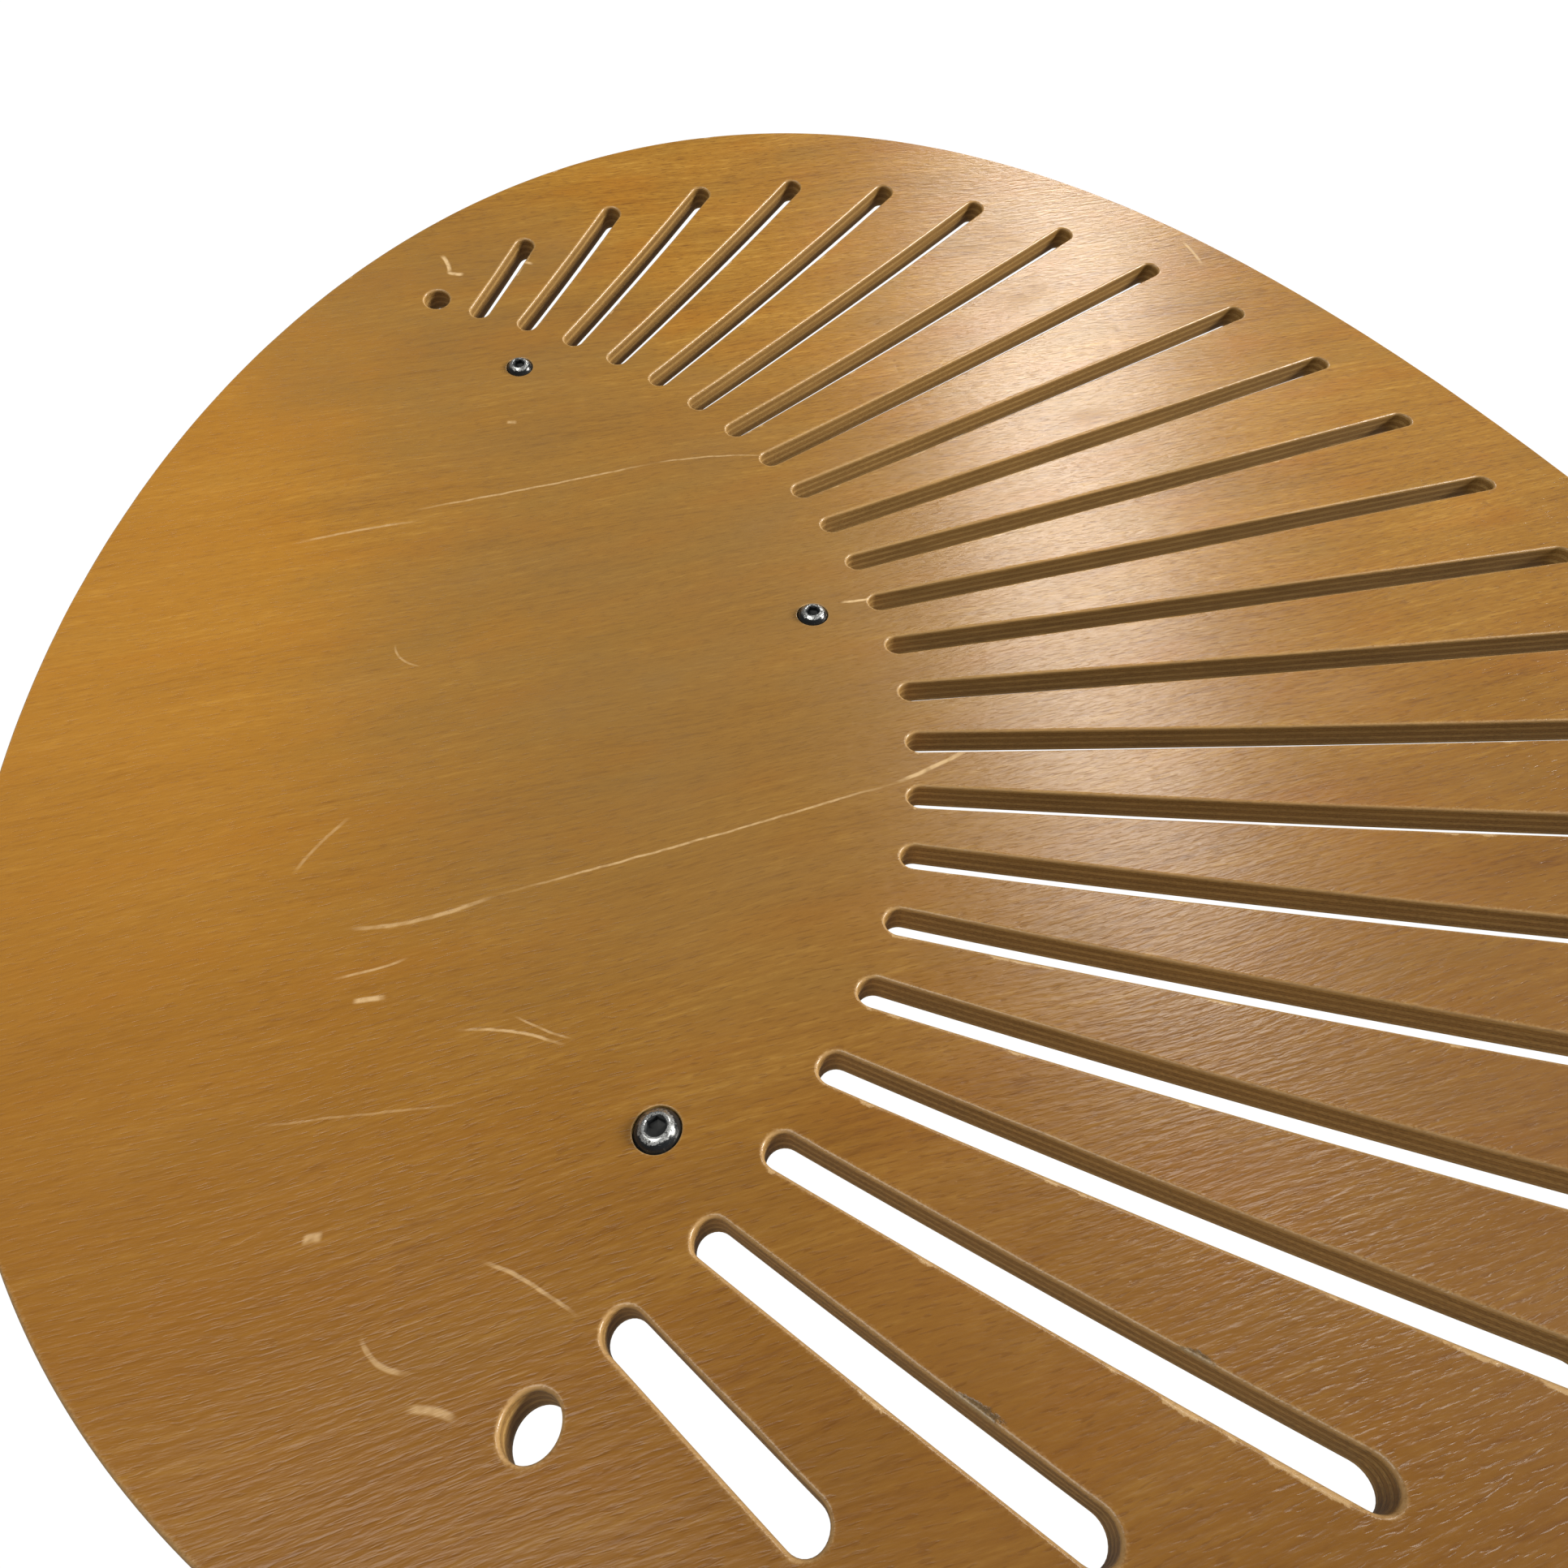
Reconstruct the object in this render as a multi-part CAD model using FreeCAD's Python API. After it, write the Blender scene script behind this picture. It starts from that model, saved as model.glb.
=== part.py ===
import FreeCAD, Part
import math
import os

# Fan-slotted seat panel of moulded plywood, with the three screws that hold it to its frame.
#
# Frame: millimetres. X runs along the trough of the bend towards the front, Y across the bend,
# Z up. The origin lies on the front screw's axis, where its spacer meets the chair frame.
#
# The panel is laid out on its flat blank, as (x, s): s is the length along the curved upper face,
# measured from the trough line. A depth d below the upper face lies on a cylinder of radius
# bend_radius + d about the one bend axis. Rim and holes are square to the face; the slots lean
# with it by only a share of its slope.

# ---- panel ----------------------------------------------------------------------------------
disc_radius = 280.0            # round blank
bend_radius = 760.0            # upper, hollow face
ply_thickness = 1.3            # one veneer
ply_count = 7                  # grain turns by a right angle from each veneer to the next
panel_thickness = ply_thickness * ply_count
rim_points = 72                # points that carry the curve of the rim

# ---- fan of slots ---------------------------------------------------------------------------
slot_count = 23
slot_width = 8.0
slot_lean = 0.56               # lean of a slot's walls, as a share of the face's slope there
inner_arc_radius = 214.8       # arc through the slots' inner ends, about the hub
inner_pitch = 5.66             # degrees between neighbouring inner ends, about the hub
ray_origin_setback = 19.0      # the outer ends lie on rays from a point this far behind the hub
outer_pitch = 5.22             # degrees between neighbouring rays
rim_margin = 31.1              # from the slots' outer ends to the edge of the disc
disc_centre_ahead = 221.2      # from the hub to the centre of the disc
end_hole_diameter = 10.5       # one round hole closes the fan on each side
end_hole_arc_radius = 220.4
end_hole_angle = 67.2

# ---- fixings --------------------------------------------------------------------------------
screw_arc_radius = 194.5       # the three screws, about the hub
side_screw_angle = 54.2
shank_radius = 3.0             # M6, over the thread
neck_radius = 2.675            # plain part of the shank, down to the lower face of the spacer
shank_length = 20.0            # under the head
tip_chamfer = 0.7
head_radius = 5.25             # button head
head_height = 3.3
head_rim_height = 0.35
head_flat_radius = 2.95
head_shoulder_radius = 4.42    # a point on the dome, between its rim and its flat
head_shoulder_height = 2.15
socket_across_flats = 4.0
socket_depth = 2.1
socket_chamfer = 0.25
drill_point_depth = 0.5
head_sink = 1.4                # how far the head sits in the upper face
head_clearance = 0.1           # radial, head in its recess
shank_clearance = 0.2          # radial, shank in the panel
spacer_clearance = 0.1         # radial, shank in the spacer
spacer_radius = 8.0
spacer_height = 4.0
spacer_chamfer = 0.6

cut_margin = 10.0              # how far each cutter runs past the panel

hub_x = -screw_arc_radius
disc_x = hub_x + disc_centre_ahead
ray_origin_x = hub_x - ray_origin_setback
upper_face_z = spacer_height + panel_thickness
bend_axis_z = upper_face_z + bend_radius


def point_at(x, s, depth=0.0):
    """Point of the bent panel for the flat blank's (x, s), at a depth below the upper face."""
    angle = s / bend_radius
    radius = bend_radius + depth
    return FreeCAD.Vector(x, radius * math.sin(angle), bend_axis_z - radius * math.cos(angle))


def normal_at(s):
    """Unit vector out of the upper face."""
    angle = s / bend_radius
    return FreeCAD.Vector(0, -math.sin(angle), math.cos(angle))


def across_at(s):
    """Unit vector along the curved direction of the upper face."""
    angle = s / bend_radius
    return FreeCAD.Vector(0, math.cos(angle), math.sin(angle))


def polar(centre_x, radius, degrees):
    """Blank point at a radius and angle about a point of the centre line."""
    angle = math.radians(degrees)
    return centre_x + radius * math.cos(angle), radius * math.sin(angle)


def bend_cylinder(radius):
    """Solid cylinder about the bend axis, long enough for the whole panel, seam at the top."""
    turn = FreeCAD.Rotation(FreeCAD.Vector(0, 0, 1), FreeCAD.Vector(0, -1, 0),
                            FreeCAD.Vector(1, 0, 0), "ZXY")
    half_length = disc_radius + 2 * cut_margin
    start = FreeCAD.Vector(disc_x - half_length, 0, bend_axis_z)
    cylinder = Part.makeCylinder(radius, 2 * half_length)
    cylinder.Placement = FreeCAD.Placement(start, turn)
    return cylinder


def rim_curve(depth):
    """Closed curve round the disc's rim at a depth below the upper face."""
    points = []
    for step in range(rim_points):
        x, s = polar(disc_x, disc_radius, 360 * step / rim_points)
        points.append(point_at(x, s, depth))
    curve = Part.BSplineCurve()
    curve.interpolate(Points=points, PeriodicFlag=True)
    return curve.toShape()


def round_blank(depth):
    """One veneer's bent disc, its upper face at a depth, its rim square to the face."""
    sheet = bend_cylinder(bend_radius + depth + ply_thickness).cut(bend_cylinder(bend_radius + depth))
    rim = Part.makeRuledSurface(rim_curve(-cut_margin), rim_curve(panel_thickness + cut_margin))
    parted = sheet.generalFuse([rim])[0]
    middle = point_at(disc_x, 0, depth + ply_thickness / 2)
    return [solid for solid in parted.Solids if solid.isInside(middle, 0.001, False)][0]


def slot_ends(index):
    """Blank points of a slot's inner and outer end; index 0 is the middle slot."""
    inner = polar(hub_x, inner_arc_radius, index * inner_pitch)
    angle = math.radians(index * outer_pitch)
    outer_arc_radius = disc_radius - rim_margin
    along = (disc_x - ray_origin_x) * math.cos(angle)
    reach = along + math.sqrt(along ** 2 - (disc_x - ray_origin_x) ** 2 + outer_arc_radius ** 2)
    return inner, (ray_origin_x + reach * math.cos(angle), reach * math.sin(angle))


def slot_cutter(index):
    """Round-ended bar that cuts one slot, leaning with the face by a share of its slope."""
    (x0, s0), (x1, s1) = slot_ends(index)
    middle_x = (x0 + x1) / 2
    middle_s = (s0 + s1) / 2
    up = normal_at(middle_s * slot_lean)
    base = point_at(middle_x, middle_s) + up * cut_margin
    half_run = FreeCAD.Vector((x1 - x0) / 2, 0, 0)
    half_run += across_at(middle_s) * (bend_radius * math.sin((s1 - s0) / 2 / bend_radius))
    half_run -= up * half_run.dot(up)
    along = FreeCAD.Vector(half_run)
    along.normalize()
    side = up.cross(along) * (slot_width / 2)
    half_run -= along * (slot_width / 2)
    a, b = base - half_run, base + half_run
    nose = along * (slot_width / 2)
    outline = Part.Wire([
        Part.LineSegment(a + side, b + side).toShape(),
        Part.Arc(b + side, b + nose, b - side).toShape(),
        Part.LineSegment(b - side, a - side).toShape(),
        Part.Arc(a - side, a - nose, a + side).toShape(),
    ])
    return Part.Face(outline).extrude(up * -(panel_thickness + 2 * cut_margin))


def end_hole_cutter(sign):
    """Drill for the round hole that closes the fan on one side."""
    x, s = polar(hub_x, end_hole_arc_radius, sign * end_hole_angle)
    top = point_at(x, s) + normal_at(s) * cut_margin
    return Part.makeCylinder(end_hole_diameter / 2, panel_thickness + 2 * cut_margin, top,
                             normal_at(s) * -1)


def screw_cutter(x, s):
    """Recess for a screw's head and the clearance hole below it."""
    down = normal_at(s) * -1
    top = point_at(x, s) - down * cut_margin
    recess = Part.makeCylinder(head_radius + head_clearance, cut_margin + head_sink, top, down)
    hole = Part.makeCylinder(shank_radius + shank_clearance,
                             panel_thickness + 2 * cut_margin, top, down)
    return recess.fuse(hole)


def veneer(number, cutters):
    """One veneer, counted from the upper face down."""
    return round_blank(number * ply_thickness).cut(cutters)


def veneers():
    """Every veneer of the panel, from the upper face down."""
    names = ["top_face_veneer"]
    names += ["core_veneer_%d" % number for number in range(1, ply_count - 1)]
    names += ["bottom_face_veneer"]
    half_fan = slot_count // 2
    cutters = [slot_cutter(index) for index in range(-half_fan, half_fan + 1)]
    cutters += [end_hole_cutter(sign) for sign in (-1, 1)]
    cutters += [screw_cutter(x, s) for x, s in screw_places().values()]
    return {name: veneer(number, cutters) for number, name in enumerate(names)}


def screw_places():
    """Blank points of the three screws."""
    return {
        "front": polar(hub_x, screw_arc_radius, 0),
        "left": polar(hub_x, screw_arc_radius, side_screw_angle),
        "right": polar(hub_x, screw_arc_radius, -side_screw_angle),
    }


def standing_at(shape, x, s):
    """A piece drawn along +Z from its origin, moved to the upper face at (x, s)."""
    turn = FreeCAD.Rotation(FreeCAD.Vector(1, 0, 0), math.degrees(s / bend_radius))
    shape.Placement = FreeCAD.Placement(point_at(x, s), turn).multiply(shape.Placement)
    return shape


def turned(points):
    """Solid of revolution about Z from a closed profile of (radius, height) points and arcs."""
    edges = []
    place = FreeCAD.Vector(points[0][0], 0, points[0][1])
    for target in points[1:] + points[:1]:
        end = FreeCAD.Vector(target[0], 0, target[1])
        if len(target) == 4:
            through = FreeCAD.Vector(target[2], 0, target[3])
            edges.append(Part.Arc(place, through, end).toShape())
        else:
            edges.append(Part.LineSegment(place, end).toShape())
        place = end
    return Part.Face(Part.Wire(edges)).revolve(FreeCAD.Vector(), FreeCAD.Vector(0, 0, 1), 360)


def button_screw():
    """M6 button-head screw with a hexagon socket; the upper face is at height 0."""
    seat = -head_sink
    crown = seat + head_height
    tip = seat - shank_length
    thread_top = -(panel_thickness + spacer_height)
    body = turned([
        (0, tip),
        (shank_radius - tip_chamfer, tip),
        (shank_radius, tip + tip_chamfer),
        (shank_radius, thread_top),
        (neck_radius, thread_top),
        (neck_radius, seat),
        (head_radius, seat),
        (head_radius, seat + head_rim_height),
        (head_flat_radius, crown, head_shoulder_radius, seat + head_shoulder_height),
        (0, crown),
    ])
    corner = socket_across_flats / math.sqrt(3)
    floor = crown - socket_depth
    corners = [FreeCAD.Vector(corner * math.cos(math.radians(60 * n)),
                              corner * math.sin(math.radians(60 * n)), floor) for n in range(7)]
    hexagon = Part.Face(Part.makePolygon(corners)).extrude(FreeCAD.Vector(0, 0, head_height))
    mouth = Part.makeCone(corner - socket_chamfer, corner + socket_chamfer, 2 * socket_chamfer,
                          FreeCAD.Vector(0, 0, crown - socket_chamfer))
    drill = Part.makeCone(0.0, socket_across_flats / 2, drill_point_depth,
                          FreeCAD.Vector(0, 0, floor - drill_point_depth))
    return body.cut([hexagon, mouth, drill])


def spacer():
    """Nylon ring between the panel and the chair frame; the upper face is at height 0."""
    foot = -(panel_thickness + spacer_height)
    bore = shank_radius + spacer_clearance
    top = -panel_thickness / 2
    return turned([
        (bore, foot),
        (spacer_radius - spacer_chamfer, foot),
        (spacer_radius, foot + spacer_chamfer),
        (spacer_radius, top),
        (bore, top),
    ])


def main():
    """Build every piece and write one STEP file for each."""
    pieces = veneers()
    under_panel = bend_cylinder(bend_radius + panel_thickness)
    for name, (x, s) in screw_places().items():
        pieces[name + "_screw"] = standing_at(button_screw(), x, s)
        pieces[name + "_spacer"] = standing_at(spacer(), x, s).cut(under_panel)
    os.makedirs("parts", exist_ok=True)
    for name, shape in pieces.items():
        solid = shape.Solids[0]
        print("%-20s solids %d  valid %s  %9.1f mm3" % (name, len(shape.Solids), shape.isValid(),
                                                        shape.Volume))
        solid.exportStep("parts/%s.step" % name)


main()
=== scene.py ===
"""Looks of a round seat panel of moulded plywood with a fan of slots, on three worn black screws.

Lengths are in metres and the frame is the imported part's: X along the trough of the bend towards
the front, Y across it, Z up from the seat of the front screw. The panel is laid out on its flat
blank, as (u, v): u runs along X, and v along the curved upper face, from the trough line.
"""

import functools
import logging
import math
from dataclasses import dataclass, field, replace
from enum import Enum
from typing import Any

import bpy
import numpy as np
from mathutils import Euler, Matrix, Vector
from mathutils.geometry import delaunay_2d_cdt


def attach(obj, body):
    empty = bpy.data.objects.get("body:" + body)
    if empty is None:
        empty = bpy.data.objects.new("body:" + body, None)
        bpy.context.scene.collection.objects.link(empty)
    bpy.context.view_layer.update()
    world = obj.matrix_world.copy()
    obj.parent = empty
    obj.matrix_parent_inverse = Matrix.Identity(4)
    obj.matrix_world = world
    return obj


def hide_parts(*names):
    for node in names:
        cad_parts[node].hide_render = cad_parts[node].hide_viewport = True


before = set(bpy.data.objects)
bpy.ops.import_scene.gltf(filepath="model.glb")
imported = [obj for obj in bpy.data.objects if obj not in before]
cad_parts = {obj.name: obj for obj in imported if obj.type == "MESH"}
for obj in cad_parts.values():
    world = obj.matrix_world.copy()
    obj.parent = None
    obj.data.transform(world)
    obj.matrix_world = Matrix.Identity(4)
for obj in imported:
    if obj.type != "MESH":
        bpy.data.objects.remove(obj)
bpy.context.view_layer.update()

LOG = logging.getLogger("seat_panel")
MM = 0.001
Colour = tuple[float, float, float, float]


# ---- shader expressions -----------------------------------------------------------------------


@dataclass(frozen=True)
class Term:
    """A value that varies over a surface: one output socket, with arithmetic that adds nodes."""

    tree: "FinishTree"
    socket: bpy.types.NodeSocket

    def __add__(self, other: "Term | float") -> "Term":
        """Sum."""
        return self.tree.math("ADD", self, other)

    def __radd__(self, other: float) -> "Term":
        """Sum with a number on the left."""
        return self.tree.math("ADD", other, self)

    def __sub__(self, other: "Term | float") -> "Term":
        """Difference."""
        return self.tree.math("SUBTRACT", self, other)

    def __rsub__(self, other: float) -> "Term":
        """Difference with a number on the left."""
        return self.tree.math("SUBTRACT", other, self)

    def __mul__(self, other: "Term | float") -> "Term":
        """Product."""
        return self.tree.math("MULTIPLY", self, other)

    def __rmul__(self, other: float) -> "Term":
        """Product with a number on the left."""
        return self.tree.math("MULTIPLY", other, self)

    def __truediv__(self, other: "Term | float") -> "Term":
        """Quotient."""
        return self.tree.math("DIVIDE", self, other)

    def __rtruediv__(self, other: float) -> "Term":
        """Quotient with a number on the left."""
        return self.tree.math("DIVIDE", other, self)

    def __abs__(self) -> "Term":
        """Size without its sign."""
        return self.tree.math("ABSOLUTE", self)

    def rise(self, low: float, high: float) -> "Term":
        """Smooth step from 0 at low to 1 at high.

        Args:
            low: Value where the step starts.
            high: Value where the step ends, above low.

        Returns:
            The step.
        """
        step = self.tree.node(
            "ShaderNodeMapRange",
            {"interpolation_type": "SMOOTHSTEP"},
            {"Value": self, "From Min": low, "From Max": high},
        )
        return Term(self.tree, step.outputs[0])

    def larger(self, other: "Term | float") -> "Term":
        """The larger of two values."""
        return self.tree.math("MAXIMUM", self, other)


class FinishTree:
    """The node tree of one finish."""

    def __init__(self, name: str) -> None:
        """Makes an empty material of a name."""
        self.material = bpy.data.materials.new(name)
        self.material.use_nodes = True
        self.nodes = self.material.node_tree.nodes
        self.links = self.material.node_tree.links
        self.nodes.clear()

    def node(
        self,
        kind: str,
        settings: dict[str, Any] | None = None,
        sockets: dict[str | int, Any] | None = None,
    ) -> bpy.types.Node:
        """Adds a node.

        Args:
            kind: The node's type.
            settings: The node's own properties; "stops" are a ramp's (place, colour) pairs.
            sockets: Values or terms for its inputs, by name or number.

        Returns:
            The node.
        """
        made = self.nodes.new(kind)
        for key, value in (settings or {}).items():
            if key == "stops":
                ramp = made.color_ramp.elements
                while len(ramp) < len(value):
                    ramp.new(0.5)
                for element, (place, colour) in zip(ramp, value):
                    element.position, element.color = place, colour
            else:
                setattr(made, key, value)
        for key, value in (sockets or {}).items():
            if isinstance(value, Term):
                self.links.new(value.socket, made.inputs[key])
            else:
                made.inputs[key].default_value = value
        return made

    def math(self, operation: str, *operands: "Term | float") -> Term:
        """Math node on terms and numbers."""
        made = self.node("ShaderNodeMath", {"operation": operation}, dict(enumerate(operands)))
        return Term(self, made.outputs[0])

    def vector(self, x: "Term | float", y: "Term | float", z: "Term | float") -> Term:
        """Vector from three values."""
        made = self.node("ShaderNodeCombineXYZ", None, {"X": x, "Y": y, "Z": z})
        return Term(self, made.outputs[0])

    def mix(self, factor: "Term | float", first: "Term | Colour", second: "Term | Colour") -> Term:
        """Blend of two colours.

        Args:
            factor: 0 for the first colour, 1 for the second.
            first: A colour or a term.
            second: A colour or a term.

        Returns:
            The blended colour.
        """
        made = self.node(
            "ShaderNodeMix",
            {"data_type": "RGBA", "clamp_factor": True},
            {0: factor, 6: first, 7: second},
        )
        return Term(self, made.outputs[2])

    def coats(
        self, base: "Term | Colour", *coats: tuple["Term | float", "Term | Colour"]
    ) -> Term:
        """Colours laid over one another.

        Args:
            base: The lowest colour.
            coats: Strength and colour of each coat, from the lowest up.

        Returns:
            The colour that shows.
        """
        for strength, colour in coats:
            base = self.mix(strength, base, colour)
        return base

    def noise(self, place: Term, detail: float = 2.0, roughness: float = 0.5) -> Term:
        """Soft noise from 0 to 1, one cell to each unit of place.

        Args:
            place: Where to read it.
            detail: How many finer layers it has.
            roughness: How strong the finer layers are.

        Returns:
            The noise.
        """
        made = self.node(
            "ShaderNodeTexNoise",
            {"noise_dimensions": "3D"},
            {"Vector": place, "Scale": 1.0, "Detail": detail, "Roughness": roughness},
        )
        return Term(self, made.outputs[0])

    def attribute(self, name: str) -> Term:
        """A value kept on the mesh's vertices."""
        made = self.node("ShaderNodeAttribute", {"attribute_name": name})
        return Term(self, made.outputs["Fac"])

    def place(self) -> tuple[Term, Term, Term]:
        """The piece's own coordinates, in millimetres."""
        source = self.node("ShaderNodeTexCoord").outputs["Object"]
        parts = self.node("ShaderNodeSeparateXYZ", None, {"Vector": Term(self, source)})
        x, y, z = (Term(self, output) * 1000.0 for output in parts.outputs)
        return x, y, z

    def grit(self, cell: float, detail: float, roughness: float = 0.5) -> Term:
        """Noise with round cells of a size in millimetres."""
        return self.noise(self.vector(*(part / cell for part in self.place())), detail, roughness)

    def close(self, shader: bpy.types.Node) -> None:
        """Makes a shader the material's surface."""
        output = self.node("ShaderNodeOutputMaterial")
        self.links.new(shader.outputs[0], output.inputs["Surface"])

    def surface(self, varying: dict[str, Term], fixed: dict[str, Any], relief: Term) -> None:
        """Closes the tree with a surface shader.

        Args:
            varying: Terms for the sockets that change over the surface.
            fixed: Values for the sockets that don't.
            relief: Height of the surface's fine relief, in metres.
        """
        height = {"Strength": 1.0, "Distance": 1.0, "Height": relief}
        normal = Term(self, self.node("ShaderNodeBump", None, height).outputs[0])
        sockets = {**varying, **fixed, "Normal": normal}
        self.close(self.node("ShaderNodeBsdfPrincipled", None, sockets))


# ---- the bent blank -----------------------------------------------------------------------------


@dataclass(frozen=True)
class BentBlank:
    """The panel's bend: its flat blank rolled onto a cylinder about an axis along X."""

    bend_radius: float = 760.0 * MM
    trough_height: float = 13.1 * MM
    ply_thickness: float = 1.3 * MM
    ply_count: int = 7

    @property
    def axis_height(self) -> float:
        """Height of the bend's axis."""
        return self.trough_height + self.bend_radius

    @property
    def thickness(self) -> float:
        """Thickness of the whole panel."""
        return self.ply_thickness * self.ply_count

    def places(self, flat: np.ndarray, depth: float) -> np.ndarray:
        """Points of the bent panel.

        Args:
            flat: Blank points, one row each.
            depth: Depth below the upper face.

        Returns:
            The points in space, one row each.
        """
        angle = flat[:, 1] / self.bend_radius
        radius = self.bend_radius + depth
        return np.stack(
            [flat[:, 0], radius * np.sin(angle), self.axis_height - radius * np.cos(angle)], 1
        )

    def ups(self, flat: np.ndarray) -> np.ndarray:
        """Unit vectors out of the upper face at blank points."""
        angle = flat[:, 1] / self.bend_radius
        return np.stack([np.zeros_like(angle), -np.sin(angle), np.cos(angle)], 1)

    def turned(self, flat: np.ndarray, direction: np.ndarray) -> np.ndarray:
        """Directions in space of directions drawn on the blank.

        Args:
            flat: Blank points.
            direction: Unit vectors on the blank, one for each point.

        Returns:
            Unit vectors in space.
        """
        angle = flat[:, 1] / self.bend_radius
        return np.stack(
            [direction[:, 0], direction[:, 1] * np.cos(angle), direction[:, 1] * np.sin(angle)], 1
        )

    def standing(self, u: float, v: float) -> Matrix:
        """Placement of a piece that stands on the upper face at a blank point."""
        spot = self.places(np.array([[u, v]]), 0.0)[0]
        turn = Matrix.Rotation(v / self.bend_radius, 4, "X")
        return Matrix.Translation(Vector(spot)) @ turn


def polar(centre: float, radius: float, degrees: float) -> tuple[float, float]:
    """Blank point at a radius and angle about a point of the centre line."""
    angle = math.radians(degrees)
    return centre + radius * math.cos(angle), radius * math.sin(angle)


def compass(count: int) -> np.ndarray:
    """Unit vectors all round."""
    turn = np.linspace(0, 2 * np.pi, count, endpoint=False)
    return np.stack([np.cos(turn), np.sin(turn)], 1)


@dataclass
class Cut:
    """A closed line on the blank where the rim, a slot or a hole meets the faces.

    flat holds its points and inward their directions into the wood; spread is the rounded edge's
    width and chipped its chipping at each. A ledge is the floor of a recess, ledge wide.
    """

    flat: np.ndarray
    inward: np.ndarray
    lean_v: float | None
    rounding: float
    spread: np.ndarray
    chipped: np.ndarray
    is_rim: bool = False
    ledge: float = 0.0
    ledge_depth: float = 0.0

    def at(self, blank: BentBlank, offset: np.ndarray, depth: float) -> np.ndarray:
        """The line moved into the wood and down the wall.

        Args:
            blank: The bent blank.
            offset: How far each point moves into the wood.
            depth: Depth below the upper face.

        Returns:
            Blank points. A cut is square to the face at lean_v only; the rim is so everywhere.
        """
        moved = self.flat + self.inward * offset[:, None]
        if self.lean_v is not None:
            lean = np.tan((self.lean_v - moved[:, 1]) / blank.bend_radius)
            moved[:, 1] += depth * lean
        return moved


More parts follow.
